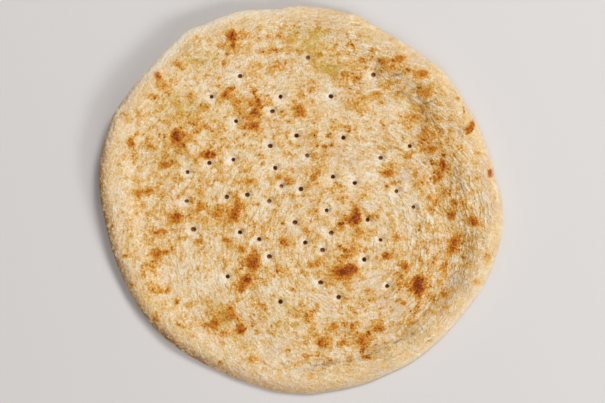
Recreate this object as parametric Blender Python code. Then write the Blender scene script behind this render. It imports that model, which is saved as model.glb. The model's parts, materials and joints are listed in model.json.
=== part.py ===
# Pizza base: a round of baked dough with a raised, uneven rim, a lifted edge and rows of docker holes.
# Metres, +Z up. The origin is the middle of the object's box at the surface that it lies on.
# Angles are in degrees, anticlockwise from +X when the base is seen from above.

import math

import bmesh
import bpy
from mathutils import Vector, noise

MM = 0.001

# The outline is a circle with a few broad waves: (waves per turn, height, angle of a crest).
MEAN_RADIUS = 129.4 * MM
OUTLINE_WAVES = (
    (2, 3.9 * MM, -27.5),
    (3, 0.6 * MM, -3.0),
    (4, 0.9 * MM, -12.0),
    (5, 0.4 * MM, -4.0),
    (6, 0.6 * MM, -18.0),
    (8, 0.8 * MM, -10.0),
)
# Small bulges and dents in it: (angle, half the angle that it takes up, height).
OUTLINE_BUMPS = (
    (6, 4, -1.2 * MM),
    (30, 4, -1.0 * MM),
    (43, 6, 1.4 * MM),
    (63, 4, -0.7 * MM),
    (73, 5, 1.2 * MM),
    (97, 6, -1.2 * MM),
    (109, 7, 1.6 * MM),
    (116, 5, 0.8 * MM),
    (124, 7, 1.9 * MM),
    (138, 7, -0.8 * MM),
    (155, 6, 1.0 * MM),
    (195, 9, 0.6 * MM),
    (232, 17, 1.1 * MM),
    (255, 8, -0.6 * MM),
    (273, 6, 0.6 * MM),
    (297, 7, -0.6 * MM),
    (345, 8, -0.6 * MM),
)

# The field is the thin middle. The rim's height above it and the way in from the edge to the
# middle of its inner slope change round the base, and so does the outer edge, which is round or
# slanted above its widest place: (angle, height, distance in, length of slope, height of the
# widest place, length of the rounding above it, power of the rounding).
FIELD_THICKNESS = 6.5 * MM
RIM_STATIONS = (
    (0, 4.6 * MM, 33 * MM, 26 * MM, 1.0 * MM, 9 * MM, 0.5),
    (22, 4.4 * MM, 31 * MM, 24 * MM, 1.4 * MM, 9 * MM, 0.5),
    (45, 3.4 * MM, 22 * MM, 18 * MM, 2.0 * MM, 9 * MM, 0.5),
    (75, 2.0 * MM, 18 * MM, 16 * MM, 3.0 * MM, 8 * MM, 0.5),
    (110, 1.3 * MM, 15 * MM, 14 * MM, 3.3 * MM, 5 * MM, 0.5),
    (150, 1.8 * MM, 17 * MM, 14 * MM, 3.5 * MM, 5 * MM, 0.5),
    (185, 3.4 * MM, 20 * MM, 13 * MM, 4.2 * MM, 8 * MM, 0.5),
    (222, 3.6 * MM, 18 * MM, 12 * MM, 3.8 * MM, 8 * MM, 0.5),
    (245, 3.4 * MM, 18 * MM, 11 * MM, 1.6 * MM, 10 * MM, 0.8),
    (270, 2.6 * MM, 18 * MM, 10 * MM, 0.8 * MM, 10 * MM, 0.8),
    (300, 2.8 * MM, 19 * MM, 10 * MM, 0.7 * MM, 10 * MM, 0.8),
    (328, 3.6 * MM, 17 * MM, 13 * MM, 0.7 * MM, 9 * MM, 0.7),
    (345, 4.4 * MM, 23 * MM, 18 * MM, 0.8 * MM, 9 * MM, 0.6),
)

# The edge has a short upright band at its widest place and is round below it.
EDGE_BAND = 1.2 * MM
UNDER_ROUNDING = 7.0 * MM
ROUND = 0.5

# One side curled up in the oven.
LIFT_ANGLE = 145.0
LIFT_START = 20 * MM
LIFT_END = 133 * MM
LIFT_HEIGHT = 9.0 * MM
LIFT_POWER = 1.6

# Low waves of the skin and lumps along the rim: (width of a wave, height).
FIELD_WAVES = ((34 * MM, 0.65 * MM), (13 * MM, 0.3 * MM))
RIM_LUMPS = (19 * MM, 0.8 * MM)

# Blisters under the skin: (x, y, radius, height).
BLISTERS = (
    (57.5 * MM, 87 * MM, 8.5 * MM, 2.1 * MM),
    (33 * MM, 63 * MM, 13 * MM, 0.9 * MM),
    (-72 * MM, 38 * MM, 14 * MM, 0.9 * MM),
    (-70 * MM, -48 * MM, 16 * MM, 1.0 * MM),
    (-20 * MM, -82 * MM, 15 * MM, 0.8 * MM),
    (52 * MM, -12 * MM, 16 * MM, 0.8 * MM),
    (6 * MM, 96 * MM, 12 * MM, 0.8 * MM),
)

# A round docker plate pricked the dough. Its pins stand on rings, at some of the places that lie
# PIN_STEP apart: ring radius, then the places that left a hole.
PLATE_CENTRE = (0.4 * MM, 7.2 * MM)
PIN_PHASE = 5.4
PIN_STEP = 7.5
PIN_RINGS = (
    (0.0 * MM, (0,)),
    (13.1 * MM, (22,)),
    (22.3 * MM, (2, 10, 18, 26, 34, 42)),
    (35.5 * MM, (0, 12, 16, 24, 36, 40)),
    (42.9 * MM, (6, 30, 38)),
    (49.1 * MM, (20, 24, 28, 32, 44)),
    (55.5 * MM, (2, 14)),
    (63.1 * MM, (9, 13, 17, 21, 37, 41, 43, 47)),
    (75.7 * MM, (2, 22, 24, 26, 30, 34, 38, 46)),
    (86.3 * MM, (7, 11, 15, 17, 41)),
)
# The dough was pulled longer along +X +Y afterwards, by the same share everywhere, and wider
# towards that side, where each scale grows by so much per metre.
PULL_DIAGONAL = 0.0145
PULL_X_PER_Y = 0.25
PULL_Y_PER_X = 0.46

HOLE_RADIUS = 1.35 * MM
HOLE_TIP_RADIUS = 0.95 * MM
HOLE_DEPTH = 4.2 * MM
HOLE_SIDES = 9
DIMPLE_RADIUS = 4.6 * MM
DIMPLE_DEPTH = 0.9 * MM

# The slab is shaped on a fine grid and then thinned to the faces that its form needs.
GRID_CELLS = 150
EDGE_CROWDING = 0.38
FACES_KEPT = 8600

CRUST_COLOUR = (0.70, 0.45, 0.19, 1.0)
CRUST_ROUGHNESS = 0.8


def smooth_step(low, high, value):
    """0 below low, 1 above high, and a smooth ramp between."""
    t = min(1.0, max(0.0, (value - low) / (high - low)))
    return t * t * (3 - 2 * t)


def bump(distance, radius):
    """1 in the middle of a bump and 0 from its radius on."""
    return max(0.0, 1 - (distance / radius) ** 2) ** 2


def outline_radius(angle):
    """Distance from the middle to the edge in a direction, in radians."""
    radius = MEAN_RADIUS
    for waves, height, crest in OUTLINE_WAVES:
        radius += height * math.cos(waves * (angle - math.radians(crest)))
    turn = math.degrees(angle)
    for middle, half_width, height in OUTLINE_BUMPS:
        away = (turn - middle + 180) % 360 - 180
        radius += height * bump(away, half_width)
    return radius


def outline_middle():
    """The middle of the outline's box, which the finished base is moved by."""
    angles = [math.radians(step / 4) for step in range(4 * 360)]
    across = [outline_radius(a) * math.cos(a) for a in angles]
    along = [outline_radius(a) * math.sin(a) for a in angles]
    return (min(across) + max(across)) / 2, (min(along) + max(along)) / 2


def rim_at(angle):
    """The rim's and edge's six values in a direction, smooth between the stations."""
    turn = math.degrees(angle) % 360
    ahead = next((i for i, s in enumerate(RIM_STATIONS) if s[0] > turn), 0)
    first = RIM_STATIONS[ahead - 1]
    second = RIM_STATIONS[ahead]
    span = (second[0] - first[0]) % 360
    share = smooth_step(0, span, (turn - first[0]) % 360)
    return [a + (b - a) * share for a, b in zip(first[1:], second[1:])]


def pin_places():
    """Where the docker's pins went in, from the plate's rings and the pull of the dough."""
    places = []
    for radius, slots in PIN_RINGS:
        for slot in slots:
            angle = math.radians(PIN_PHASE + PIN_STEP * slot)
            x = radius * math.cos(angle)
            y = radius * math.sin(angle)
            pulled_x = x * (1 + PULL_X_PER_Y * y) + PULL_DIAGONAL * y
            pulled_y = y * (1 + PULL_Y_PER_X * x) + PULL_DIAGONAL * x
            places.append((PLATE_CENTRE[0] + pulled_x, PLATE_CENTRE[1] + pulled_y))
    return places


PINS = pin_places()


def wave(x, y, width, height, seed):
    return height * noise.noise(Vector((x / width, y / width, seed)))


def rounding(inset, length, power):
    """From 0 at the edge to 1 at length from it: a quarter of an ellipse, or straighter."""
    t = min(1.0, max(0.0, inset / length))
    return (1 - (1 - t) ** 2) ** power


def lift(x, y):
    """How far the curled side stands off the table."""
    direction = math.radians(LIFT_ANGLE)
    along = x * math.cos(direction) + y * math.sin(direction)
    t = min(1.0, max(0.0, (along - LIFT_START) / (LIFT_END - LIFT_START)))
    return LIFT_HEIGHT * t**LIFT_POWER


def top_height(x, y):
    angle = math.atan2(y, x)
    inset = outline_radius(angle) - math.hypot(x, y)
    height, slope_middle, slope_length, edge_height, edge_length, edge_power = rim_at(angle)
    on_rim = 1 - smooth_step(slope_middle - slope_length / 2, slope_middle + slope_length / 2, inset)
    surface = FIELD_THICKNESS + height * on_rim
    surface += wave(x, y, RIM_LUMPS[0], RIM_LUMPS[1] * on_rim, 7.0)
    for seed, (width, size) in enumerate(FIELD_WAVES):
        surface += wave(x, y, width, size, seed)
    for blister_x, blister_y, radius, size in BLISTERS:
        surface += size * bump(math.hypot(x - blister_x, y - blister_y), radius)
    for pin_x, pin_y in PINS:
        surface -= DIMPLE_DEPTH * bump(math.hypot(x - pin_x, y - pin_y), DIMPLE_RADIUS)
    edge = edge_height + EDGE_BAND / 2
    return edge + (surface - edge) * rounding(inset, edge_length, edge_power) + lift(x, y)


def under_height(x, y):
    angle = math.atan2(y, x)
    inset = outline_radius(angle) - math.hypot(x, y)
    edge = rim_at(angle)[3] - EDGE_BAND / 2
    return edge * (1 - rounding(inset, UNDER_ROUNDING, ROUND)) + lift(x, y)


def disc_place(u, v):
    """Takes a point of the square from -1 to 1 to the base's outline, ring for ring."""
    ring = max(abs(u), abs(v))
    if ring == 0:
        return 0.0, 0.0
    if abs(u) >= abs(v):
        angle = math.pi / 4 * v / u + (math.pi if u < 0 else 0)
    else:
        angle = math.pi / 2 - math.pi / 4 * u / v + (math.pi if v < 0 else 0)
    crowded = ring * (1 + EDGE_CROWDING) - ring**3 * EDGE_CROWDING
    radius = crowded * outline_radius(angle)
    return radius * math.cos(angle), radius * math.sin(angle)


def crust_material():
    material = bpy.data.materials.new("baked_crust")
    material.use_nodes = True
    shader = material.node_tree.nodes["Principled BSDF"]
    shader.inputs["Base Color"].default_value = CRUST_COLOUR
    shader.inputs["Roughness"].default_value = CRUST_ROUGHNESS
    shader.inputs["Metallic"].default_value = 0.0
    return material


def link(obj, collection):
    for held_by in obj.users_collection:
        held_by.objects.unlink(obj)
    collection.objects.link(obj)


def make_slab(name, collection):
    """The round of dough: a box whose two large faces are gridded, then pressed to the base's form."""
    grid = bmesh.new()
    bmesh.ops.create_cube(grid, size=2)
    level_edges = [e for e in grid.edges if e.verts[0].co.z * e.verts[1].co.z > 0]
    bmesh.ops.subdivide_edges(grid, edges=level_edges, cuts=GRID_CELLS - 1, use_grid_fill=True)
    for vertex in grid.verts:
        x, y = disc_place(vertex.co.x, vertex.co.y)
        height = top_height(x, y) if vertex.co.z > 0 else under_height(x, y)
        vertex.co = (x, y, height)
    bmesh.ops.triangulate(grid, faces=grid.faces)
    mesh = bpy.data.meshes.new(name)
    grid.to_mesh(mesh)
    grid.free()
    slab = bpy.data.objects.new(name, mesh)
    collection.objects.link(slab)
    thin = slab.modifiers.new("thin", "DECIMATE")
    thin.ratio = FACES_KEPT / len(mesh.polygons)
    return slab


def make_pins(collection):
    """One tapered cutter for each docker hole, each as deep as the others below the skin."""
    above = 2 * MM
    for number, (x, y) in enumerate(PINS):
        bpy.ops.mesh.primitive_cone_add(
            vertices=HOLE_SIDES,
            radius1=HOLE_TIP_RADIUS,
            radius2=HOLE_RADIUS,
            depth=HOLE_DEPTH + above,
            location=(x, y, top_height(x, y) + (above - HOLE_DEPTH) / 2),
        )
        pin = bpy.context.object
        pin.name = f"docker_pin_{number:02d}"
        pin.hide_render = True
        pin.display_type = "WIRE"
        link(pin, collection)


def main():
    for obj in list(bpy.data.objects):
        bpy.data.objects.remove(obj)
    part = bpy.data.collections.new("pizza_base")
    cutters = bpy.data.collections.new("docker_pins")
    for collection in (part, cutters):
        bpy.context.scene.collection.children.link(collection)

    base = make_slab("pizza_base", part)
    base.data.materials.append(crust_material())
    make_pins(cutters)
    prick = base.modifiers.new("prick", "BOOLEAN")
    prick.operation = "DIFFERENCE"
    prick.solver = "EXACT"
    prick.operand_type = "COLLECTION"
    prick.collection = cutters

    middle_x, middle_y = outline_middle()
    for obj in [base, *cutters.objects]:
        obj.location.x -= middle_x
        obj.location.y -= middle_y


main()
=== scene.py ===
# Looks of a baked pizza base: cream crust, golden mottling, scorch marks, fine wrinkles and docker holes.
import json
import math

import bmesh
import bpy
import numpy as np
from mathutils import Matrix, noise

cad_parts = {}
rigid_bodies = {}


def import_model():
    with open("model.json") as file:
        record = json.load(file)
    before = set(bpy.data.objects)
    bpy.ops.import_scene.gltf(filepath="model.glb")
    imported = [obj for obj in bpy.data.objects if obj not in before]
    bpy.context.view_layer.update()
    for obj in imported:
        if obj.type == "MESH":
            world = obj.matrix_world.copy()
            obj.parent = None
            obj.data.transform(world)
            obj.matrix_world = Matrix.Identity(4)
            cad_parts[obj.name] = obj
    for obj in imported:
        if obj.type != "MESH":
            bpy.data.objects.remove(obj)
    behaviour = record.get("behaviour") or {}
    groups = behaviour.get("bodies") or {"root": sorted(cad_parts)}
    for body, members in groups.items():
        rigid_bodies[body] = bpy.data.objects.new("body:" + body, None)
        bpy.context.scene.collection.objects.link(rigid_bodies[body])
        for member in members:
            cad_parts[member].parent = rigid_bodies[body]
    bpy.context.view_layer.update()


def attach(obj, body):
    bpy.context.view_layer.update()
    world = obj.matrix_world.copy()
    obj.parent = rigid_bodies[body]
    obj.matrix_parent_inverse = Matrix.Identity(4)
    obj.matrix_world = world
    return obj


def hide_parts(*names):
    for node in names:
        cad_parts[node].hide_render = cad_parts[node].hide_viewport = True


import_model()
mm = 0.001


# shared helpers: x and y are arrays of places in mm, measured from the dough's own middle
def smoothStep(low, high, value):
    t = np.clip((value - low) / (high - low), 0, 1)
    return t * t * (3 - 2 * t)


def noiseOn(x, y, z):  # Perlin noise, about -0.7 to 0.7
    return np.array([noise.noise(place) for place in zip(x.tolist(), y.tolist(), z.tolist())])


def flatNoise(x, y, width, seed):
    return noiseOn(x / width, y / width, np.full_like(x, seed))


def hump(distance, radius):  # 1 in the middle, 0 from its radius on
    return np.maximum(0, 1 - (distance / radius) ** 2) ** 2


def spotShare(x, y, spots, reach):  # up to a spot's strength, over its half sizes times reach
    left = np.ones_like(x)
    for spotX, spotY, halfWidth, halfHeight, strength in spots:
        away = np.hypot((x - spotX) / halfWidth, (y - spotY) / halfHeight)
        left *= 1 - strength * np.exp(-((away / reach) ** 2))
    return 1 - left


def seen(red, green, blue):  # a colour as a screen shows it, 0 to 255, made linear
    share = np.array((red, green, blue)) / 255
    linear = np.where(share < 0.04045, share / 12.92, ((share + 0.055) / 1.055) ** 2.4)
    return (*linear.tolist(), 1.0)


# the dough's form, as the solid has it: sizes in mm, angles in degrees, anticlockwise from +X
dough = {
    "meanRadius": 129.4,
    "outlineWaves": (  # waves per turn, height, angle of a crest
        (2, 3.9, -27.5),
        (3, 0.6, -3.0),
        (4, 0.9, -12.0),
        (5, 0.4, -4.0),
        (6, 0.6, -18.0),
        (8, 0.8, -10.0),
    ),
    "outlineBumps": (  # angle, half the angle that it takes up, height
        (6, 4, -1.2), (30, 4, -1.0), (43, 6, 1.4), (63, 4, -0.7), (73, 5, 1.2), (97, 6, -1.2),
        (109, 7, 1.6), (116, 5, 0.8), (124, 7, 1.9), (138, 7, -0.8), (155, 6, 1.0), (195, 9, 0.6),
        (232, 17, 1.1), (255, 8, -0.6), (273, 6, 0.6), (297, 7, -0.6), (345, 8, -0.6),
    ),
    "thickness": 6.5,
    "rim": (  # angle, height over the field, way in to the middle of the slope, length of the slope,
        # then of the outer edge: height of the widest place, length of the rounding, its power
        (0, 4.6, 33, 26, 1.0, 9, 0.5),
        (22, 4.4, 31, 24, 1.4, 9, 0.5),
        (45, 3.4, 22, 18, 2.0, 9, 0.5),
        (75, 2.0, 18, 16, 3.0, 8, 0.5),
        (110, 1.3, 15, 14, 3.3, 5, 0.5),
        (150, 1.8, 17, 14, 3.5, 5, 0.5),
        (185, 3.4, 20, 13, 4.2, 8, 0.5),
        (222, 3.6, 18, 12, 3.8, 8, 0.5),
        (245, 3.4, 18, 11, 1.6, 10, 0.8),
        (270, 2.6, 18, 10, 0.8, 10, 0.8),
        (300, 2.8, 19, 10, 0.7, 10, 0.8),
        (328, 3.6, 17, 13, 0.7, 9, 0.7),
        (345, 4.4, 23, 18, 0.8, 9, 0.6),
    ),
    "topRounding": 9,
    "underRounding": 7,
    "liftAngle": 145,
    "liftFrom": 20,
    "liftTo": 133,
    "liftHeight": 9.0,
    "liftPower": 1.6,
    "fieldWaves": ((34, 0.65), (13, 0.3)),  # width of a wave, height
    "rimLumps": (19, 0.8),
    "blisters": (  # x, y, radius, height
        (57.5, 87, 8.5, 2.1),
        (33, 63, 13, 0.9),
        (-72, 38, 14, 0.9),
        (-70, -48, 16, 1.0),
        (-20, -82, 15, 0.8),
        (52, -12, 16, 0.8),
        (6, 96, 12, 0.8),
    ),
}

# the round docker plate's pins, and how the dough was pulled wider after they had pricked it
docker = {
    "centre": (0.4, 7.2),
    "phase": 5.4,
    "step": 7.5,
    "rings": (  # ring radius, places on it that left a hole
        (0.0, (0,)),
        (13.1, (22,)),
        (22.3, (2, 10, 18, 26, 34, 42)),
        (35.5, (0, 12, 16, 24, 36, 40)),
        (42.9, (6, 30, 38)),
        (49.1, (20, 24, 28, 32, 44)),
        (55.5, (2, 14)),
        (63.1, (9, 13, 17, 21, 37, 41, 43, 47)),
        (75.7, (2, 22, 24, 26, 30, 34, 38, 46)),
        (86.3, (7, 11, 15, 17, 41)),
    ),
    "pullDiagonal": 0.0145,
    "pullX": 0.00025,
    "pullY": 0.00046,
    "mouth": 1.65,
    "tip": 1.3,
    "depths": (1.6, 3.8),  # the shallow ones let light fall on their floor
    "above": 2.0,  # how far a pin reaches up out of the skin
    "sides": 18,
    "widths": (0.88, 1.12),  # each pin's own share of the width
    "stretch": (0.9, 1.15),
    "lean": 0.16,  # radians
    "dimpleRadius": 4.6,
    "dimpleDepth": 0.8,
    "funnelRadius": 2.5,
    "funnelDepth": 0.4,
    "wallReach": 2.4,  # a hole's wall is this near to the pin's middle,
    "wallAbove": 0.7,  # at least this far over the underside,
    "wallFade": (0.25, 2.6),  # and takes on its colour between these depths
    "haloShift": (-2.0, -0.8),  # pale skin with a painted highlight lies round a hole, to the left of it, on its lit side
    "shadeShift": (2.2, 1.2),  # and painted shade to the right of it
}


def outlineRadius(angle):
    radius = np.full_like(angle, dough["meanRadius"])
    for count, height, crest in dough["outlineWaves"]:
        radius += height * np.cos(count * (angle - math.radians(crest)))
    for bulge, halfWidth, height in dough["outlineBumps"]:
        radius += height * hump((np.degrees(angle) - bulge + 180) % 360 - 180, halfWidth)
    return radius


def outlineMiddle():
    angles = np.radians(np.arange(0, 360, 0.25))
    across = outlineRadius(angles) * np.cos(angles)
    along = outlineRadius(angles) * np.sin(angles)
    return (across.min() + across.max()) / 2, (along.min() + along.max()) / 2


def rimAt(angle):  # the rim's and edge's six values in a direction, smooth between the stations
    stations = np.array(dough["rim"], float)
    turn = np.degrees(angle) % 360
    after = np.searchsorted(stations[:, 0], turn, side="right")
    first = stations[after - 1]
    second = stations[after % len(stations)]
    span = (second[:, 0] - first[:, 0]) % 360
    share = smoothStep(0, 1, ((turn - first[:, 0]) % 360) / span)
    return (first + (second - first) * share[:, None])[:, 1:].T


def pinPlaces():
    places = []
    for radius, slots in docker["rings"]:
        for slot in slots:
            angle = math.radians(docker["phase"] + docker["step"] * slot)
            x = radius * math.cos(angle)
            y = radius * math.sin(angle)
            pulledX = x * (1 + docker["pullX"] * y) + docker["pullDiagonal"] * y
            pulledY = y * (1 + docker["pullY"] * x) + docker["pullDiagonal"] * x
            places.append((docker["centre"][0] + pulledX, docker["centre"][1] + pulledY))
    return np.array(places)


pins = pinPlaces()
middle = outlineMiddle()


def pinDistance(x, y, shift=(0, 0)):
    nearest = np.full_like(x, 1000.0)
    for pinX, pinY in pins:
        nearest = np.minimum(nearest, np.hypot(x - pinX - shift[0], y - pinY - shift[1]))
    return nearest


def rounding(inset, length, power=0.5):
    return (1 - (1 - np.clip(inset / length, 0, 1)) ** 2) ** power


def liftAt(x, y):
    direction = math.radians(dough["liftAngle"])
    along = x * math.cos(direction) + y * math.sin(direction)
    share = np.clip((along - dough["liftFrom"]) / (dough["liftTo"] - dough["liftFrom"]), 0, 1)
    return dough["liftHeight"] * share ** dough["liftPower"]


def insetAt(x, y):  # way in from the outline
    return outlineRadius(np.arctan2(y, x)) - np.hypot(x, y)


def formHeight(x, y):  # the skin without its fine relief and before the edge is rounded
    height, slopeMiddle, slopeLength = rimAt(np.arctan2(y, x))[:3]
    onRim = 1 - smoothStep(0, 1, (insetAt(x, y) - slopeMiddle) / slopeLength + 0.5)
    surface = dough["thickness"] + height * onRim
    surface += dough["rimLumps"][1] * onRim * flatNoise(x, y, dough["rimLumps"][0], 7.0)
    for seed, (width, size) in enumerate(dough["fieldWaves"]):
        surface += size * flatNoise(x, y, width, seed)
    for blisterX, blisterY, radius, size in dough["blisters"]:
        surface += size * hump(np.hypot(x - blisterX, y - blisterY), radius)
    for pinX, pinY in pins:
        surface -= docker["dimpleDepth"] * hump(np.hypot(x - pinX, y - pinY), docker["dimpleRadius"])
    return surface


# fine relief of the skin, in mm
skin = {
    "foldCentre": (31, -31),  # the wrinkles run round this point
    "foldFacing": -5,  # degrees, the side where they are strongest
    "foldReach": (12, 50),  # from the centre: where they set in, where they are full
    "foldLeast": 0.2,
    "foldPatch": 22,  # width of the patches in which they come and go
    "foldWidth": 2.4,
    "foldLength": 11,
    "foldHeight": 0.26,
    "crackleWidth": 3.1,
    "crackleHeight": 0.12,
    "warp": 1.8,  # how far the folds and the crackle are pulled about, then how wide that noise is
    "warpWidth": 6.0,
    "puffWidth": 7.5,
    "puffHeight": 0.26,
    "sunk": 0.2,  # taken off everywhere, so that the relief stays below the solid's skin
    "calmEdge": (1, 13),  # way in between which the relief grows
    "calmShare": 0.25,  # of the relief that is left at the edge
    "edgeWander": 0.5,  # how far the edge wanders in from the outline
    "edgeWanderWidth": 5,
    "bundles": (  # where wrinkles lie close: x, y, half width, half height, strength
        (83, 62, 13, 15, 0.8), (80, -78, 13, 12, 0.9), (103, 6, 10, 26, 0.6), (-16, 88, 18, 10, 0.4),
        (-46, 83, 9, 7, 0.5),
    ),
    "creaseWidth": 1.3,
    "creaseWander": 1.2,  # how far the lines wander, then how wide that noise is
    "creaseWanderWidth": 4,
    "creaseGapWidth": 5,  # noise that breaks the lines up
    "creases": (  # lines where the skin is folded in: depth, then the line's points
        (0.20, ((-12.5, -108), (-2.4, -111.8), (7.7, -111.8))),
        (0.30, ((7.7, -110.1), (19.5, -107.6), (31.2, -105.5), (38, -103.8))),
        (0.40, ((43, -103.4), (47.7, -100.8))),
        (0.40, ((61.5, -94.5), (68.2, -91.1), (75, -87))),
        (0.25, ((71.9, -84.7), (79, -78), (86.5, -69.5))),
        (0.50, ((49.1, 82.3), (55.4, 80.7), (61.4, 82), (66.7, 83.3))),
        (0.30, ((60, 71.2), (66, 71.4), (70.6, 76.4))),
        (0.35, ((66, 71.4), (70.6, 68.4), (75.2, 65.1), (79.9, 60.5), (84, 56.8), (90.5, 47.5))),
        (0.35, ((90.5, 47.5), (94.2, 43.8))),
        (0.30, ((73.3, 71.1), (77.2, 73.1), (81.2, 75.4))),
        (0.50, ((77.2, 67.8), (81.8, 63.8), (86.5, 64.8), (88.4, 66.8))),
        (0.35, ((50.2, 88.2), (50.8, 92.2), (52.8, 95.8))),
        (0.30, ((101.6, 21.6), (105.3, 10.5), (109, 2.2))),
    ),
}


def ridge(value):  # sharp crests where the noise passes zero
    return 1 - np.abs(value) * 2.6


def foldMask(x, y):  # wrinkles are strong on the right and lower right, faint on the left
    fromX = x - skin["foldCentre"][0]
    fromY = y - skin["foldCentre"][1]
    facing = 0.5 + 0.5 * np.cos(np.arctan2(fromY, fromX) - math.radians(skin["foldFacing"]))
    reach = smoothStep(*skin["foldReach"], np.hypot(fromX, fromY))
    patches = smoothStep(-0.25, 0.35, flatNoise(x, y, skin["foldPatch"], 31))
    least = skin["foldLeast"]
    spread = np.clip(least + (1 - least) * facing * reach, 0, 1) * (0.35 + 0.65 * patches)
    return np.maximum(spread, spotShare(x, y, skin["bundles"], 1))


def creaseDepth(x, y):
    deepest = np.zeros_like(x)
    wanderX = x + skin["creaseWander"] * flatNoise(x, y, skin["creaseWanderWidth"], 35)
    wanderY = y + skin["creaseWander"] * flatNoise(x, y, skin["creaseWanderWidth"], 36)
    for depth, line in skin["creases"]:
        for (startX, startY), (endX, endY) in zip(line, line[1:]):
            fromX = wanderX - startX
            fromY = wanderY - startY
            runX = endX - startX
            runY = endY - startY
            share = np.clip((fromX * runX + fromY * runY) / (runX**2 + runY**2), 0, 1)
            away = np.hypot(fromX - share * runX, fromY - share * runY)
            deepest = np.maximum(deepest, depth * hump(away, skin["creaseWidth"]))
    return deepest * smoothStep(-0.4, 0.3, flatNoise(x, y, skin["creaseGapWidth"], 37))


def skinRelief(x, y):
    warpX = skin["warp"] * flatNoise(x, y, skin["warpWidth"], 11)
    warpY = skin["warp"] * flatNoise(x, y, skin["warpWidth"], 12)
    away = np.hypot(x - skin["foldCentre"][0] + warpX, y - skin["foldCentre"][1] + warpY)
    folds = ridge(noiseOn(x / skin["foldLength"], y / skin["foldLength"], away / skin["foldWidth"]))
    crackle = ridge(flatNoise(x + warpX, y + warpY, skin["crackleWidth"], 21))
    puffs = flatNoise(x, y, skin["puffWidth"], 41)
    relief = skin["foldHeight"] * folds * foldMask(x, y) + skin["crackleHeight"] * crackle
    relief += skin["puffHeight"] * puffs
    return relief - creaseDepth(x, y)


def topSurface(x, y):
    inset = insetAt(x, y)
    least = skin["calmShare"]
    calm = least + (1 - least) * smoothStep(*skin["calmEdge"], inset)
    surface = formHeight(x, y) + skinRelief(x, y) * calm - skin["sunk"]
    surface -= docker["funnelDepth"] * hump(pinDistance(x, y), docker["funnelRadius"])
    edge, length, power = rimAt(np.arctan2(y, x))[3:]
    return edge + (surface - edge) * rounding(inset, length, power) + liftAt(x, y)


under = {
    "dentWidth": 11,
    "dentDepth": 0.5,
    "pitWidth": 3.5,
    "pitDepth": 0.15,
    "skinFrom": (0.35, 0.65),  # way down the edge, between which its colour sets in
}


def underSurface(x, y):
    dents = under["dentDepth"] * smoothStep(0, 0.5, flatNoise(x, y, under["dentWidth"], 51))
    dents += under["pitDepth"] * smoothStep(0, 0.5, flatNoise(x, y, under["pitWidth"], 52))
    curved = 1 - rounding(insetAt(x, y), dough["underRounding"])
    edge = rimAt(np.arctan2(y, x))[3]
    return np.maximum(0, edge * curved + dents * (1 - curved) + liftAt(x, y))


# the mesh: two gridded sheets joined at the outline, then pricked
grid = {"topCells": 296, "underCells": 90, "roundShare": 0.08}


def ringNoise(angle):  # noise that closes on itself round the outline
    around = dough["meanRadius"] / skin["edgeWanderWidth"]
    return noiseOn(around * np.cos(angle), around * np.sin(angle), np.full_like(angle, 61))


def discPlaces(u, v, edgeLength):  # a square's points, taken ring for ring to the outline
    ring = np.maximum(np.abs(u), np.abs(v))
    wide = np.abs(u) >= np.abs(v)
    longer = np.where(ring == 0, 1, np.where(wide, u, v))
    slant = np.where(wide, v, u) / longer * math.pi / 4
    angle = np.where(wide, slant + math.pi * (u < 0), math.pi / 2 - slant + math.pi * (v < 0))
    outer = outlineRadius(angle) - skin["edgeWander"] * np.clip(0.5 + 0.7 * ringNoise(angle), 0, 1)
    inner = 1 - grid["roundShare"]
    climb = np.clip((ring - inner) / grid["roundShare"], 0, 1) * math.pi / 2
    radius = np.where(
        ring < inner,
        (outer - edgeLength) * ring / inner,
        outer - edgeLength * (1 - np.sin(climb)),
    )
    return radius * np.cos(angle), radius * np.sin(angle)


def makeSheet(name, cells, edgeLength, heightAt):
    sheet = bmesh.new()
    bmesh.ops.create_grid(sheet, x_segments=cells, y_segments=cells, size=1)
    mesh = bpy.data.meshes.new(name)
    sheet.to_mesh(mesh)
    sheet.free()
    places = meshPlaces(mesh)
    x, y = discPlaces(places[:, 0], places[:, 1], edgeLength)
    mesh.vertices.foreach_set("co", np.column_stack((x, y, heightAt(x, y))).ravel())
    return mesh


def meshPlaces(mesh):
    places = np.empty(len(mesh.vertices) * 3)
    mesh.vertices.foreach_get("co", places)
    return places.reshape(-1, 3)


def joinSheets(top, below):
    shell = bmesh.new()
    shell.from_mesh(below)
    bmesh.ops.reverse_faces(shell, faces=shell.faces)
    shell.from_mesh(top)
    rims = [edge for edge in shell.edges if edge.is_boundary]
    bmesh.ops.bridge_loops(shell, edges=rims)
    bmesh.ops.triangulate(shell, faces=shell.faces)
    bmesh.ops.recalc_face_normals(shell, faces=shell.faces)
    mesh = bpy.data.meshes.new("crust")
    shell.to_mesh(mesh)
    shell.free()
    return mesh


def makePins():
    tools = bpy.data.collections.new("pins")
    bpy.context.scene.collection.children.link(tools)
    random = np.random.default_rng(5)
    above = docker["above"]
    surface = topSurface(pins[:, 0], pins[:, 1])
    for (x, y), height in zip(pins, surface):
        wide = random.uniform(*docker["widths"])
        depth = random.uniform(*docker["depths"])
        pin = bmesh.new()
        bmesh.ops.create_cone(
            pin,
            cap_ends=True,
            segments=docker["sides"],
            radius1=docker["tip"] * wide,
            radius2=docker["mouth"] * wide,
            depth=depth + above,
        )
        mesh = bpy.data.meshes.new("pin")
        pin.to_mesh(mesh)
        pin.free()
        cutter = bpy.data.objects.new("pin", mesh)
        cutter.location = (x, y, height + (above - depth) / 2)
        cutter.rotation_euler = random.uniform(-docker["lean"], docker["lean"], 3)
        cutter.scale = (random.uniform(*docker["stretch"]), 1, 1)
        tools.objects.link(cutter)
    return tools


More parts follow.
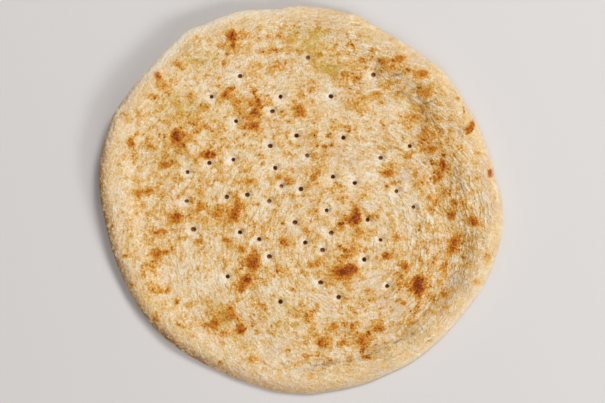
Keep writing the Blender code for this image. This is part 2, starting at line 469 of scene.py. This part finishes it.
def makeCrust():
    top = makeSheet("top", grid["topCells"], dough["topRounding"], topSurface)
    below = makeSheet("below", grid["underCells"], dough["underRounding"], underSurface)
    crust = bpy.data.objects.new("crust", joinSheets(top, below))
    bpy.context.scene.collection.objects.link(crust)
    tools = makePins()
    prick = crust.modifiers.new("prick", "BOOLEAN")
    prick.operation = "DIFFERENCE"
    prick.operand_type = "COLLECTION"
    prick.collection = tools
    prick.solver = "MANIFOLD"
    graph = bpy.context.evaluated_depsgraph_get()
    pricked = bpy.data.meshes.new_from_object(crust.evaluated_get(graph))
    crust.modifiers.clear()
    crust.data = pricked
    for cutter in list(tools.objects):
        bpy.data.objects.remove(cutter)
    bpy.data.collections.remove(tools)
    return crust


crust = makeCrust()
print("crust shaped:", len(crust.data.polygons), "faces")


# where the oven browned the skin, and where painted shade and highlight lie: x, y, half width, half height
# in mm, strength
browning = {
    "scorches": (
        (27.7, -47.7, 5.9, 4.0, 1), (34.3, -45.1, 3.3, 2.6, 0.8), (77.2, -57.6, 3.6, 6.2, 1),
        (78.5, -54, 3, 4, 0.9), (36.3, -9.4, 2.6, 5.3, 0.85), (35, -13.4, 5.3, 2.6, 0.8),
        (-31, -41.1, 4, 5.9, 0.85), (-35, -52.3, 3.3, 3.3, 0.85), (-38.9, -57.6, 2.6, 4, 0.6),
        (-81.5, 41.6, 3.3, 5.3, 0.9), (-60.7, 29.8, 5.3, 2.6, 0.85), (-45.5, 108, 2.6, 3.3, 0.85),
        (-43.6, 101.4, 1.7, 3.3, 0.7), (-38.3, 108.7, 3.3, 2.6, 0.45), (-29.7, 57.9, 2.6, 2.6, 0.8),
        (-30.7, 48.9, 4, 2.6, 0.8), (-27.4, 64, 2, 2.6, 0.75), (93.7, 22.9, 2, 4.6, 0.85),
        (91.1, 15.6, 2, 3.3, 0.6), (86.5, 33.8, 3.3, 2.6, 0.65), (99, -10.4, 2.6, 3.3, 0.75),
        (101.3, -28.2, 2.6, 4, 0.8), (99, -33.9, 2.6, 2.6, 0.55), (112.9, -13.1, 2.6, 4, 0.6),
        (115.2, -15.4, 2, 2, 0.6), (80.5, 83.2, 3.3, 2.6, 0.7), (125.4, 17.6, 2, 3, 0.75),
    ),
    "spots": (
        (57.1, -36.8, 3.3, 2.6, 0.7), (69.3, -43.8, 3.3, 2.6, 0.65), (66.7, -50.7, 2, 2.6, 0.6),
        (13.2, -94.1, 3.3, 3.3, 0.7), (40.3, -93.3, 2.6, 2.6, 0.75), (43.8, -103.5, 3.3, 1.7, 0.6),
        (27.7, -94.1, 2.6, 2, 0.55), (52.1, -85, 4, 2.6, 0.6), (34.3, -83.4, 2, 3.3, 0.5),
        (21.1, -84, 5.3, 4.6, 0.45), (-56.8, -81.7, 3.3, 3.3, 0.75), (-38.9, -85.3, 3.3, 3.3, 0.75),
        (-46.2, -72.1, 3.3, 3.3, 0.55), (-44.6, -76.8, 2.6, 2, 0.55), (-94.7, -35.4, 3.3, 3.3, 0.7),
        (-88.4, -34.5, 2.6, 1.7, 0.6), (-81.5, -67.8, 2, 2.3, 0.6), (-94.6, -78.4, 2.3, 2, 0.55),
        (-94.6, -74.6, 1.3, 1.3, 0.5), (-93.5, 81.3, 2.6, 3, 0.65), (-95.2, 67.4, 2.6, 2.3, 0.5),
        (-88.4, 75, 2.6, 2.6, 0.4), (-80.9, 89.3, 3.3, 2.6, 0.45), (-110.9, 37.4, 2.6, 4, 0.6),
        (-88.2, 23.2, 4, 2, 0.65), (-98.3, 34.8, 2, 2, 0.55), (-106.3, 3.8, 2.6, 3.3, 0.55),
        (-100.1, 5.5, 2.6, 2.6, 0.5), (-81.8, -11.4, 5.3, 5.3, 0.6), (-43.6, -10.1, 3.3, 4.6, 0.75),
        (-41.6, -2.2, 2, 4.6, 0.55), (-54.8, -10.1, 3.3, 2.6, 0.5), (-66.4, -5.5, 2.6, 2.6, 0.5),
        (-95, -21.3, 2.3, 1.7, 0.65), (-89.6, -20.7, 1.7, 2, 0.5), (-66.4, -27.3, 3, 2.3, 0.55),
        (-48.8, -26.6, 3.3, 2, 0.55), (-11.6, -26.9, 2.6, 2.6, 0.65), (-38.9, -32.5, 2.6, 2.6, 0.5),
        (-33.7, 12.3, 2.6, 2.6, 0.5), (-36, 18.9, 2, 2, 0.45), (-14.2, 15, 2.6, 2, 0.55),
        (-7.3, 13, 3.3, 2, 0.55), (-49.7, 68.2, 3.3, 2.6, 0.65), (-46.2, 72.9, 4, 2, 0.55),
        (-41.3, 64.5, 3.3, 2, 0.45), (-33.7, 64.9, 2.6, 2.6, 0.45), (-34.3, 54.8, 2.6, 2, 0.5),
        (-0.3, 57.6, 4.4, 4.4, 0.6), (0.4, 69.1, 2.6, 4, 0.35), (-19.1, 98.1, 2, 2, 0.45),
        (-50.6, 89.6, 1.7, 2.3, 0.5), (-61.4, 81.6, 4, 1.3, 0.45), (-73.3, 68.4, 2.6, 2.6, 0.4),
        (-60.7, 61.2, 2.3, 2.3, 0.45), (-57.4, 51.9, 3.3, 1.7, 0.45), (-62, 48, 4, 2, 0.4),
        (-68.2, 106.7, 2, 2, 0.4), (47.5, 98.1, 2.3, 2, 0.5), (65.7, 93.1, 3.3, 2.3, 0.6),
        (53.5, 90.9, 2.6, 2.6, 0.55), (60.7, 91.5, 2, 2, 0.5), (28.4, 83, 3.3, 2.6, 0.5),
        (35.6, 78.3, 2, 2.6, 0.5), (50.5, 69.8, 2.6, 2.3, 0.45), (64, 69.4, 2.6, 2.3, 0.5),
        (77.6, 70.8, 2.6, 2.3, 0.5), (83.8, 71.3, 2.6, 2, 0.5), (36.6, 63.2, 4, 2.6, 0.4),
        (75.9, 55.2, 2.6, 2.6, 0.5), (70, 54.8, 2, 2, 0.45), (107.6, 59.2, 1.3, 5.3, 0.45),
        (103.6, 66.5, 2.6, 2, 0.45), (112.9, 49, 2, 3.3, 0.65), (109.9, 45.7, 2.6, 2.6, 0.65),
        (81.6, 44.4, 2.6, 2.6, 0.5), (87.3, 43.4, 2.6, 2.6, 0.45), (70, 29.2, 2.6, 3.3, 0.45),
        (75.6, 17.9, 2, 2.6, 0.45), (76.9, 10.4, 3.3, 3.3, 0.4), (55.1, 17.6, 3.3, 2.6, 0.5),
        (59.2, 18.3, 2.6, 3.3, 0.45), (61.7, 11, 2.6, 2, 0.45), (57, 8.4, 2, 2.6, 0.45),
        (85.1, 1.8, 2.6, 2.3, 0.5), (89.1, -2.6, 2, 2, 0.45), (101, -1.7, 2.6, 3.3, 0.55),
        (95, 5.1, 2, 2, 0.4), (116.2, 30.5, 2.6, 2, 0.45), (124.1, -37.2, 4.6, 4, 0.4),
        (116.6, -54.3, 4.6, 2.6, 0.4), (93.4, -45.4, 5.3, 3.3, 0.4), (95, -62.9, 2.6, 2.6, 0.45),
        (86.5, -65.9, 2.6, 2, 0.4), (95.7, -70.2, 2.6, 2, 0.4), (68, -68.2, 2.6, 1.7, 0.5),
        (71.3, -80.7, 4.6, 4, 0.35), (44.6, -60.3, 2.6, 2, 0.5), (4.2, -76.1, 2.3, 2.3, 0.55),
        (0.4, -68.8, 2, 4, 0.4), (10.9, -42.1, 2.6, 3.3, 0.5), (6.6, -43.6, 2, 2, 0.45),
        (34.3, -33, 2.6, 2.3, 0.6), (29.4, -37.2, 3.3, 1.7, 0.55), (37.6, -22.6, 5.3, 3.3, 0.35),
        (63, -25.3, 3.3, 4, 0.4), (2.5, -19.1, 2.6, 1.3, 0.45), (11.2, -6.9, 2.6, 2.3, 0.4),
        (8.6, 14.7, 2.6, 2.6, 0.55), (15.8, 34.8, 2.6, 2.6, 0.5), (26.4, 9, 2.3, 2.3, 0.4),
        (27.7, -1.5, 2.3, 2.3, 0.4), (-6.6, 37.4, 2.3, 2.3, 0.4), (-87, -59.4, 1.7, 2, 0.5),
        (-67.7, -45.5, 2, 2, 0.45), (-80.7, -81.7, 2.6, 1.3, 0.45), (-76.6, -83.8, 2, 1.3, 0.45),
        (-114.8, -36.7, 2, 2, 0.5), (-102.3, -49.3, 1.7, 1.7, 0.45), (-110.6, -55.6, 2, 2, 0.45),
        (-32.3, -104.9, 2.6, 3.3, 0.45), (-52.5, -107, 2.6, 2, 0.45), (3.3, -94.1, 4, 2, 0.35),
        (2.9, -103, 2.6, 3.3, 0.35), (10.9, -102.1, 3.3, 2.6, 0.3), (85.8, -93.3, 2, 1.3, 0.45),
        (-123.2, -16.4, 2, 2.6, 0.4), (-130.8, 10.4, 1.3, 2.6, 0.45), (-115.5, 55.2, 4.6, 2, 0.4),
    ),
    "dull": (  # painted shade, over somewhat greyish skin, on the slopes that the light misses
        (83.8, 57.4, 8, 12, 0.7), (103.3, 17.9, 7, 12, 0.8), (117.5, -24.6, 6, 6, 0.7),
        (112.5, -36, 7, 15, 0.9), (106, -56, 7, 10, 0.6), (75, -88, 14, 6, 0.7),
        (52, -100, 14, 5, 0.6), (95, -75, 8, 8, 0.4), (20, -107, 20, 4, 0.4),
        (63, 83, 9, 5, 0.6), (9, 93, 5, 4, 0.6), (-42, 78, 5, 5, 0.35),
    ),
    "olive": (  # greenish yellow skin
        (18, 86, 9, 7, 0.9), (6, 105, 13, 10, 0.9), (-67, 93, 13, 9, 0.6), (-76, 61, 22, 7, 0.6),
        (-13, -80, 8, 12, 0.5), (-58, -69, 7, 5, 0.6), (-51, -79, 6, 5, 0.6), (-29, -61, 5, 4, 0.6),
        (-10, -70, 5, 4, 0.8), (70, 70, 18, 8, 0.3), (-85, 28, 16, 10, 0.3),
    ),
    "golden": (  # skin that the oven reached more
        (-70.6, 49.3, 11, 13, 0.7), (-88.4, 32.8, 9, 10, 0.5), (17.2, 90.9, 13, 7, 0.7),
        (60, 83, 9, 8, 0.8), (75, 57, 7, 13, 0.6), (-56.8, -5.5, 12, 7, 0.6), (33.7, -18.7, 7, 12, 0.2),
        (27, -43.8, 10, 8, 0.4), (-50.8, -78, 8, 7, 0.7), (43.6, -94, 9, 8, 0.5), (103, -28.6, 5, 7, 0.6),
        (-35.6, 54.6, 8, 9, 0.3), (-35.6, -49.7, 8, 9, 0.2), (20, 13, 8, 16, 0.4), (98, 30, 6, 14, 0.2),
        (2, 104, 16, 8, 0.4), (7, 92, 5, 5, 0.6), (-98, -66, 8, 8, 0.7), (-98, -13, 7, 6, 0.5),
        (-6, -13, 6, 6, 0.5), (100, 0, 6, 6, 0.5), (-59, 13, 6, 6, 0.5), (33, 50, 7, 6, 0.5),
        (-32, 79, 7, 6, 0.5),
    ),
    "pale": (  # skin that stayed pale
        (-119.5, 6.4, 8, 30, 0.5), (-73.3, -53, 17, 14, 0.7), (18.5, 63.8, 11, 9, 0.7),
        (38.3, 18.3, 11, 17, 0.5), (68, -8.1, 10, 17, 0.7), (-50.8, -100.5, 20, 9, 0.6),
        (-15.8, -102.5, 17, 10, 0.6), (-86.5, -74, 8, 9, 0.3), (-65.3, 71, 9, 6, 0.7),
        (-48.8, 85.6, 10, 5, 0.3), (48.2, -56.3, 10, 8, 0.6), (-108, 53, 10, 12, 0.2),
        (4, -60, 9, 8, 0.4), (60, 62, 8, 8, 0.3), (-95, 98, 12, 8, 0.4), (60, 13, 8, 8, 0.7),
        (86.5, -13.4, 7, 7, 0.6), (-92, -27, 10, 9, 0.4), (-85, 12, 6, 5, 0.5), (77, -47, 9, 6, 0.5),
        (8, 52, 6, 5, 0.5), (88, 40, 6, 6, 0.5), (-32, -60, 8, 8, 0.5), (30, -78, 12, 6, 0.4),
    ),
    "raggedness": 1.0,  # mm that the marks' outlines wander
    "raggedWidth": 4.5,
    "markReach": 1.15,  # in a mark's half sizes
    "glowReach": 2.2,  # the golden skin round a mark
    "warmReach": 1.1,
    "creaseShadeShare": 1.6,  # of the painted crease shade for each mm of depth
    "calmRim": (15, 7, -50),  # the rim's smooth band: width, how much wider at one angle, that angle
    "brim": ((125, 55, 8, 0.9), (322, 60, 6, 0.6), (20, 70, 3.5, 0.6)),  # painted highlight along the lit edge: angle, spread, width, strength
    "wall": ((185, 60, 9, 0.9), (228, 40, 9, 1), (266, 45, 11, 0.35)),  # browned edge with painted shade on the sides the light misses, likewise
}


def edgeShare(angle, inset, bands):
    share = np.zeros_like(angle)
    for middleAngle, spread, width, strength in bands:
        away = (np.degrees(angle) - middleAngle + 180) % 360 - 180
        share = np.maximum(share, strength * hump(away, spread) * hump(inset, width))
    return share


def paintGuides(crust):  # values on the mesh that the crust's finish reads by name
    mesh = crust.data
    x, y, z = meshPlaces(mesh).T
    inset = insetAt(x, y)
    angle = np.arctan2(y, x)
    surface = topSurface(x, y)
    floor = underSurface(x, y)
    depth = surface - z
    inHole = (pinDistance(x, y) < docker["wallReach"]) * (z - floor > docker["wallAbove"])
    inHole = inHole * smoothStep(*docker["wallFade"], depth)
    downShare = depth / np.maximum(surface - floor, 0.5)
    calmWidth, calmGrowth, calmAngle = browning["calmRim"]
    calm = calmWidth + calmGrowth * np.maximum(0, np.cos(angle - math.radians(calmAngle)))
    marks = browning["scorches"] + browning["spots"]
    wanderX = browning["raggedness"] * flatNoise(x, y, browning["raggedWidth"], 71)
    wanderY = browning["raggedness"] * flatNoise(x, y, browning["raggedWidth"], 72)
    golden = spotShare(x, y, browning["golden"], browning["warmReach"])
    pale = spotShare(x, y, browning["pale"], browning["warmReach"])
    guides = {
        "scorch": spotShare(x + wanderX, y + wanderY, marks, browning["markReach"]),
        "glow": spotShare(x + 2 * wanderX, y + 2 * wanderY, marks, browning["glowReach"]),
        "warmth": golden - pale,
        # painted shade on the slopes that the light misses
        "dull": spotShare(x, y, browning["dull"], 1),
        "olive": spotShare(x, y, browning["olive"], 1),
        "inField": smoothStep(0.3, 1, inset / calm),
        # painted highlight along the lit edge
        "brim": edgeShare(angle, inset, browning["brim"]),
        # browned edge with painted shade on the sides the light misses
        "wall": edgeShare(angle, inset, browning["wall"]),
        "haloGap": pinDistance(x, y, docker["haloShift"]),
        "shadeGap": pinDistance(x, y, docker["shadeShift"]),
        # painted shade in the creases
        "crease": browning["creaseShadeShare"] * creaseDepth(x, y),
        "folding": foldMask(x, y),
        "hole": inHole,
        "below": smoothStep(*under["skinFrom"], downShare) * (1 - np.sign(inHole)),
    }
    for name, values in guides.items():
        layer = mesh.attributes.new(name, "FLOAT", "POINT")
        layer.data.foreach_set("value", values.astype(np.float32))
    print("guides painted: underside", round(float(guides["below"].mean()), 3))
    return list(guides)


def placeCrust(crust):  # from the dough's middle to the solid's frame, in metres
    places = meshPlaces(crust.data)
    print("crust box in mm:", places.min(0).round(2), places.max(0).round(2))
    places[:, 0] -= middle[0]
    places[:, 1] -= middle[1]
    crust.data.vertices.foreach_set("co", (places * mm).ravel())
    crust.data.shade_smooth()
    crust.data.set_sharp_from_angle(angle=math.radians(50))


guideNames = paintGuides(crust)
placeCrust(crust)


class Wire:  # a socket, so that shader maths reads as plain expressions
    def __init__(self, finish, socket):
        self.finish = finish
        self.socket = socket

    def maths(self, operation, first, second):
        return self.finish.node("ShaderNodeMath", {"operation": operation}, {0: first, 1: second})

    def __add__(self, other):
        return self.maths("ADD", self, other)

    def __radd__(self, other):
        return self.maths("ADD", other, self)

    def __sub__(self, other):
        return self.maths("SUBTRACT", self, other)

    def __rsub__(self, other):
        return self.maths("SUBTRACT", other, self)

    def __mul__(self, other):
        return self.maths("MULTIPLY", self, other)

    def __rmul__(self, other):
        return self.maths("MULTIPLY", other, self)

    def __abs__(self):
        return self.maths("ABSOLUTE", self, 0)


class Finish:  # a material whose nodes are added one by one
    def __init__(self, name):
        self.material = bpy.data.materials.new(name)
        self.material.use_nodes = True
        self.tree = self.material.node_tree
        self.shader = self.tree.nodes["Principled BSDF"]

    def node(self, kind, settings, inputs, out=0):
        made = self.tree.nodes.new(kind)
        for name, value in settings.items():
            if name == "stops":
                self.setStops(made.color_ramp, value)
            else:
                setattr(made, name, value)
        for name, value in inputs.items():
            self.feed(made.inputs[name], value)
        return Wire(self, made.outputs[out])

    def setStops(self, ramp, stops):
        for position, colour in stops[2:]:
            ramp.elements.new(position).color = colour
        for element, (position, colour) in zip(ramp.elements, sorted(stops)):
            element.position = position
            element.color = colour

    def feed(self, socket, value):
        if isinstance(value, Wire):
            self.tree.links.new(value.socket, socket)
        else:
            socket.default_value = value

    def guide(self, name):  # a value kept on the mesh
        return self.node("ShaderNodeAttribute", {"attribute_name": name}, {}, "Fac")

    def step(self, low, high, value):
        ends = {"Value": value, "From Min": low, "From Max": high}
        return self.node("ShaderNodeMapRange", {"interpolation_type": "SMOOTHSTEP"}, ends)

    def noise(self, place, width, detail, seed):  # about 0.5 either way round
        shift = (seed * 37, seed * 11, 0)
        moved = self.node("ShaderNodeVectorMath", {"operation": "ADD"}, {0: place, 1: shift})
        sizes = {"Vector": moved, "Scale": 1 / width, "Detail": detail, "Roughness": 0.55}
        return self.node("ShaderNodeTexNoise", {}, sizes)

    # the way to the nearest of scattered points, in widths, and its chance, from its random colour
    def freckles(self, place, width):
        scattered = {"Vector": place, "Scale": 1 / width}
        gap = self.node("ShaderNodeTexVoronoi", {}, scattered, "Distance")
        return gap, self.node("ShaderNodeTexVoronoi", {}, scattered, "Color")

    def blend(self, share, first, second):  # colours
        return self.node("ShaderNodeMix", {"data_type": "RGBA"}, {0: share, 6: first, 7: second}, 2)


# the crust's finish: colours as seen, widths in mm
bake = {
    "browning": (  # from the palest skin to scorched
        (0.00, seen(253, 237, 211)),
        (0.12, seen(249, 227, 192)),
        (0.26, seen(244, 213, 166)),
        (0.40, seen(238, 199, 138)),
        (0.52, seen(232, 184, 109)),
        (0.62, seen(224, 168, 80)),
        (0.72, seen(218, 150, 56)),
        (0.82, seen(206, 127, 32)),
        (0.91, seen(180, 90, 14)),
        (1.00, seen(126, 52, 6)),
    ),
    "rosySkin": seen(226, 196, 166),
    # colour of the painted shade on the slopes and beside the holes
    "shadeSkin": seen(184, 148, 92),
    "oliveSkin": seen(206, 172, 78),
    # colour of the painted highlight on the lit edge
    "edgeHighlightSkin": seen(254, 242, 216),
    # browned edge colour, darkened with painted shade
    "wallShadeSkin": seen(166, 104, 24),
    # colour of the painted shade in the creases
    "creaseShadeSkin": seen(132, 88, 44),
    "underSkin": seen(206, 160, 98),
    "holeWall": seen(178, 112, 36),
    "roughness": 0.82,
    "specular": 0.3,
    "pull": 3.6,  # how far patterns are pulled about, then that noise's scale and detail
    "pullScale": 0.24,
    "pullDetail": 3,
    "pulledPatterns": {  # width, detail, seed
        "patches": (4.4, 1.5, 1),
        "specks": (2.1, 1, 2),
        "crackle": (1.9, 1, 6),
        "veins": (3.6, 0, 8),
        "wash": (6.5, 3, 10),
    },
    "plainPatterns": {
        "sway": (6, 1, 3),
        "region": (34, 1, 4),
        "grain": (1.3, 2, 5),
        "clouds": (11, 2, 7),
        "rosy": (17, 2, 9),
    },
    "freckleWidth": 5.6,
    "dotWidth": 3.4,
    "wrinkleWidth": 1.8,
    "wrinkleLength": 7,
    "wrinkleSway": 4,  # how far a wrinkle leaves its ring
    "relief": {"crackle": 0.26, "streaks": 1.8, "grain": 0.5, "lines": -0.25},  # mm
}

# the tone is a place on the ramp: what each pattern and guide adds to it
toneShares = {
    "ground": 0.34,
    "region": 0.08,
    "warmth": 0.07,
    # paler skin round each hole, partly a painted highlight
    "halo": -0.12,
    # paler on the wrinkles' crests and darker in their grooves: painted highlight and shade
    "streaks": -1.1,
    # darker in the grooves: painted shade
    "lines": 0.1,
    "clouds": 0.25,
    "patches": 0.35,
    "grain": 0.85,
    # paler on the crackle's crests: painted highlight
    "crackle": -0.2,
    "calmRim": 0.55,  # of the last four that is left on the smooth rim
    "washed": 0.26,
    "golden": 0.2,
    "dotted": 0.16,
    "glow": 0.14,
    "mark": 0.66,
    "scorch": 0.36,
    "markSpecks": 0.4,
    "markGrain": 0.45,
}

# values between which each of these sets in
limits = {
    "veins": (0, 0.07),
    "furrows": (0, 0.08),
    "halo": (1.2, 5.5),  # mm
    "fold": (0.4, 3),  # mm, for the painted shade beside a hole
    "wash": (0.46, 0.62),
    "freckles": (0.2, 0.55),
    "freckleChance": (0.25, 0.65),
    "dots": (0.2, 0.48),
    "dotChance": (0.25, 0.7),
    "marked": (0.1, 0.5),
    "flecks": (0.25, 0.6),
    "rosy": (0.46, 0.66),
    "rosyTone": (0.42, 0.6),
}


def wrinkles(finish, place, sway):  # noise drawn out along rings round the folds' centre
    centre = (skin["foldCentre"][0] - middle[0], skin["foldCentre"][1] - middle[1], 0)
    away = finish.node("ShaderNodeVectorMath", {"operation": "DISTANCE"}, {0: place, 1: centre}, "Value")
    across = (away + bake["wrinkleSway"] * sway) * (1 / bake["wrinkleWidth"])
    flat = finish.node(
        "ShaderNodeVectorMath", {"operation": "SCALE"}, {0: place, "Scale": 1 / bake["wrinkleLength"]}
    )
    offset = finish.node("ShaderNodeCombineXYZ", {}, {"Z": across})
    curled = finish.node("ShaderNodeVectorMath", {"operation": "ADD"}, {0: flat, 1: offset})
    return finish.node("ShaderNodeTexNoise", {}, {"Vector": curled, "Scale": 1, "Detail": 1})


def pulledAbout(finish, place):
    sizes = {"Vector": place, "Scale": bake["pullScale"], "Detail": bake["pullDetail"]}
    wander = finish.node("ShaderNodeTexNoise", {}, sizes, "Color")
    shift = finish.node("ShaderNodeVectorMath", {"operation": "SCALE"}, {0: wander, "Scale": bake["pull"]})
    return finish.node("ShaderNodeVectorMath", {"operation": "ADD"}, {0: place, 1: shift})


def readPatterns(finish):  # every guide and pattern by its name
    objectPlace = finish.node("ShaderNodeTexCoord", {}, {}, "Object")
    place = finish.node("ShaderNodeVectorMath", {"operation": "SCALE"}, {0: objectPlace, "Scale": 1 / mm})
    pulled = pulledAbout(finish, place)
    on = {name: finish.guide(name) for name in guideNames}
    on.update({name: finish.noise(place, *sizes) for name, sizes in bake["plainPatterns"].items()})
    on.update({name: finish.noise(pulled, *sizes) for name, sizes in bake["pulledPatterns"].items()})
    on["freckles"], on["freckleChance"] = finish.freckles(pulled, bake["freckleWidth"])
    on["dots"], on["dotChance"] = finish.freckles(pulled, bake["dotWidth"])
    on["wrinkle"] = wrinkles(finish, place, on["sway"])
    on["crackle"] = 1 - 5 * abs(on["crackle"] - 0.5)
    on["streaks"] = (0.45 + 0.55 * on["folding"]) * (on["wrinkle"] - 0.5)
    veins = 1 - finish.step(*limits["veins"], abs(on["veins"] - 0.5))
    furrows = 1 - finish.step(*limits["furrows"], abs(on["wrinkle"] - 0.5))
    on["lines"] = 0.5 * veins + furrows * on["folding"]
    on["halo"] = 1 - finish.step(*limits["halo"], on["haloGap"] + 6 * (on["patches"] - 0.5))
    return on


def groundTone(on):  # the skin between the marks
    share = toneShares
    blotches = share["clouds"] * (on["clouds"] - 0.5) + share["patches"] * (on["patches"] - 0.5)
    # the crackle's crests are paler: a painted highlight
    blotches = blotches + share["grain"] * (on["grain"] - 0.5) + share["crackle"] * on["crackle"]
    ground = share["ground"] + share["region"] * (on["region"] - 0.5) + share["warmth"] * on["warmth"]
    # painted highlight round the holes and on the wrinkles' crests, painted shade in their grooves
    ground = ground + share["halo"] * on["halo"] + share["streaks"] * on["streaks"]
    ground = ground + share["lines"] * on["lines"]
    return ground + blotches * (share["calmRim"] + (1 - share["calmRim"]) * on["inField"])


def goldenTone(finish, on):  # the mottling: a wash of gold, freckles and smaller dots
    warmed = 0.15 * (on["clouds"] - 0.5) + 0.15 * on["warmth"] + 0.08 * on["glow"]
    bloom = 0.6 * (on["clouds"] - 0.5) + 0.3 * on["warmth"] + 0.3 * on["glow"]
    on["washed"] = finish.step(*limits["wash"], on["wash"] + warmed + 0.16 * (on["grain"] - 0.5))
    golden = 1 - finish.step(*limits["freckles"], on["freckles"] + 0.6 * (on["specks"] - 0.5))
    on["golden"] = golden * finish.step(*limits["freckleChance"], on["freckleChance"] + bloom)
    dotted = 1 - finish.step(*limits["dots"], on["dots"] + 0.4 * (on["grain"] - 0.5))
    on["dotted"] = dotted * finish.step(*limits["dotChance"], on["dotChance"] + bloom)
    mottled = toneShares["washed"] * on["washed"] + toneShares["golden"] * on["golden"]
    mottled = mottled + toneShares["dotted"] * on["dotted"] + toneShares["glow"] * on["glow"]
    return on["inField"] * mottled * (1 - on["halo"])


def bakedTone(finish, on):  # with the scorch marks, whose outlines the specks and the grain break up
    tone = groundTone(on) + goldenTone(finish, on)
    uneven = 0.3 * (on["specks"] - 0.5) + 0.3 * (on["grain"] - 0.5)
    on["marked"] = finish.step(*limits["marked"], on["scorch"] + uneven)
    burnt = toneShares["mark"] + toneShares["scorch"] * on["scorch"]
    burnt = burnt + toneShares["markSpecks"] * (on["specks"] - 0.5)
    burnt = burnt + toneShares["markGrain"] * (on["grain"] - 0.5)
    return tone + on["marked"] * (burnt - tone)


def skinColour(finish, on, tone):
    unmarked = 1 - on["marked"]
    rosy = finish.step(*limits["rosy"], on["rosy"]) * (1 - finish.step(*limits["rosyTone"], tone))
    # painted shade on the slopes that the light misses, deepest between the crackle's crests
    dull = finish.step(0, 1, on["dull"] * (0.3 + 0.5 * (1 - on["crackle"])))
    # painted shade to the right of each hole, on its side away from the key
    fold = 1 - finish.step(*limits["fold"], on["shadeGap"] + 2.5 * (on["patches"] - 0.5))
    olive = on["olive"] * (0.35 + 0.4 * on["washed"] + 0.2 * on["golden"])
    flecks = finish.step(*limits["flecks"], on["specks"] + 0.6 * (on["wrinkle"] - 0.5))
    layers = (  # each laid over the ones before it
        (0.5 * rosy * (0.15 + on["folding"]), "rosySkin"),
        (dull * unmarked, "shadeSkin"),
        (0.4 * fold, "shadeSkin"),
        (olive * unmarked, "oliveSkin"),
        # painted highlight on the lit edge
        (on["brim"], "edgeHighlightSkin"),
        # browned edge with painted shade
        (on["wall"] * flecks, "wallShadeSkin"),
        # painted shade in the creases
        (on["crease"], "creaseShadeSkin"),
        (0.8 * on["below"], "underSkin"),
        (0.92 * on["hole"], "holeWall"),
    )
    colour = finish.node("ShaderNodeValToRGB", {"stops": bake["browning"]}, {"Fac": tone}, "Color")
    for share, layer in layers:
        colour = finish.blend(share, colour, bake[layer])
    return colour


def fineHeight(on):
    height = bake["relief"]["crackle"] * on["crackle"] + bake["relief"]["streaks"] * on["streaks"]
    return height + bake["relief"]["lines"] * on["lines"] + bake["relief"]["grain"] * on["grain"]


def makeFinish():
    finish = Finish("bakedCrust")
    on = readPatterns(finish)
    colour = skinColour(finish, on, bakedTone(finish, on))
    bumps = {"Strength": 1, "Distance": mm, "Height": fineHeight(on)}
    finish.feed(finish.shader.inputs["Base Color"], colour)
    finish.feed(finish.shader.inputs["Normal"], finish.node("ShaderNodeBump", {}, bumps, "Normal"))
    finish.feed(finish.shader.inputs["Roughness"], bake["roughness"])
    finish.feed(finish.shader.inputs["Specular IOR Level"], bake["specular"])
    return finish.material


crust.data.materials.clear()
crust.data.materials.append(makeFinish())
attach(crust, "root")
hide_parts("pizza_base")
print("crust finished")


# table, light and camera
table = {"size": 8.0, "colour": seen(222, 218, 215), "roughness": 0.6, "gap": 0.0002}


def makeTable():
    bpy.ops.mesh.primitive_plane_add(size=table["size"], location=(0, 0, -table["gap"]))
    floor = bpy.context.object
    floor.name = "table"
    finish = Finish("paleTable")
    finish.shader.inputs["Base Color"].default_value = table["colour"]
    finish.shader.inputs["Roughness"].default_value = table["roughness"]
    floor.data.materials.append(finish.material)


studio = {
    "distance": 2.6,  # m
    "lamps": (  # name, way round, height angle, width in m, share of the light on the table
        ("key", 60, 52, 0.8, 0.42),
        ("second", -32, 38, 0.7, 0.19),
        ("fill", 125, 48, 1.8, 0.08),
        ("reflector", -78, 38, 1.6, 0.15),
    ),
    "sky": 0.15,
}


def makeLight():
    distance = studio["distance"]
    for name, turn, rise, width, share in studio["lamps"]:
        turn = math.radians(turn)
        rise = math.radians(rise)
        lamp = bpy.data.lights.new(name, "AREA")
        lamp.shape = "SQUARE"
        lamp.size = width
        lamp.energy = share * (math.pi * distance) ** 2 / math.sin(rise)
        holder = bpy.data.objects.new(name, lamp)
        holder.location = (
            distance * math.cos(rise) * math.cos(turn),
            distance * math.cos(rise) * math.sin(turn),
            distance * math.sin(rise),
        )
        holder.rotation_mode = "QUATERNION"
        holder.rotation_quaternion = holder.location.to_track_quat("Z", "Y")
        bpy.context.scene.collection.objects.link(holder)
    world = bpy.data.worlds.new("sky")
    world.use_nodes = True
    background = world.node_tree.nodes["Background"]
    background.inputs["Color"].default_value = (1, 1, 1, 1)
    background.inputs["Strength"].default_value = studio["sky"]
    bpy.context.scene.world = world
    bpy.context.scene.view_settings.view_transform = "Standard"


photo = {
    "width": 399.3,  # mm of the table that the picture takes in
    "middle": (0.46, -0.73),  # mm, what the middle of the picture looks at
    "height": 1205,  # mm
    "skinHeight": 5,  # mm, where the width is measured
    "sensor": 36,
}


def makeCamera():
    lens = bpy.data.cameras.new("camera")
    lens.sensor_width = photo["sensor"]
    lens.lens = photo["sensor"] * (photo["height"] - photo["skinHeight"]) / photo["width"]
    camera = bpy.data.objects.new("camera", lens)
    camera.location = (photo["middle"][0] * mm, photo["middle"][1] * mm, photo["height"] * mm)
    bpy.context.scene.collection.objects.link(camera)
    bpy.context.scene.camera = camera


makeTable()
makeLight()
makeCamera()
print("table, light and camera placed")
